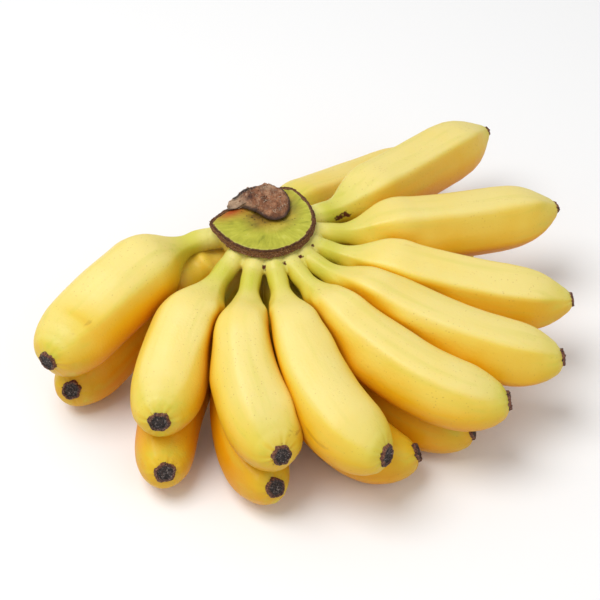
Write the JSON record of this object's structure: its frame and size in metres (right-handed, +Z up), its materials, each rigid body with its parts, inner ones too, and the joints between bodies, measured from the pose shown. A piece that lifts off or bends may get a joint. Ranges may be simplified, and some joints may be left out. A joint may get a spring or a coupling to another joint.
{
  "type": "bunch of bananas",
  "caption": "Hand of small dessert bananas in two rows on one cut crown, lying crown up, as table fruit.",
  "frame": {"origin": "bottom centre of the bounding box, on the surface that the lower row of fingers lies on", "axes": "+Z up through the crown's cut face; +X towards the side with the longest fingers; -Y towards the middle fingers' blossom ends"},
  "size_m": [0.2196, 0.214, 0.0669],
  "materials": {
    "banana_skin": "ripe waxy skin, satin, green towards the neck, with a dry brown blossom end",
    "crown": "cut green crown flesh with a brown corky rim, matt",
    "dried_bract": "dry, fibrous, dark brown, matt"
  },
  "bodies": {
    "root": {"crown": "crown", "dried_flap": "dried_bract", "finger_upper_1": "banana_skin", "finger_upper_2": "banana_skin", "finger_upper_3": "banana_skin", "finger_upper_4": "banana_skin", "finger_upper_5": "banana_skin", "finger_upper_6": "banana_skin", "finger_upper_7": "banana_skin", "finger_upper_8": "banana_skin", "finger_upper_9": "banana_skin", "finger_lower_1": "banana_skin", "finger_lower_2": "banana_skin", "finger_lower_3": "banana_skin", "finger_lower_4": "banana_skin", "finger_lower_5": "banana_skin", "finger_lower_6": "banana_skin", "finger_lower_7": "banana_skin", "finger_lower_8": "banana_skin", "finger_lower_9": "banana_skin"}
  },
  "joints": []
}
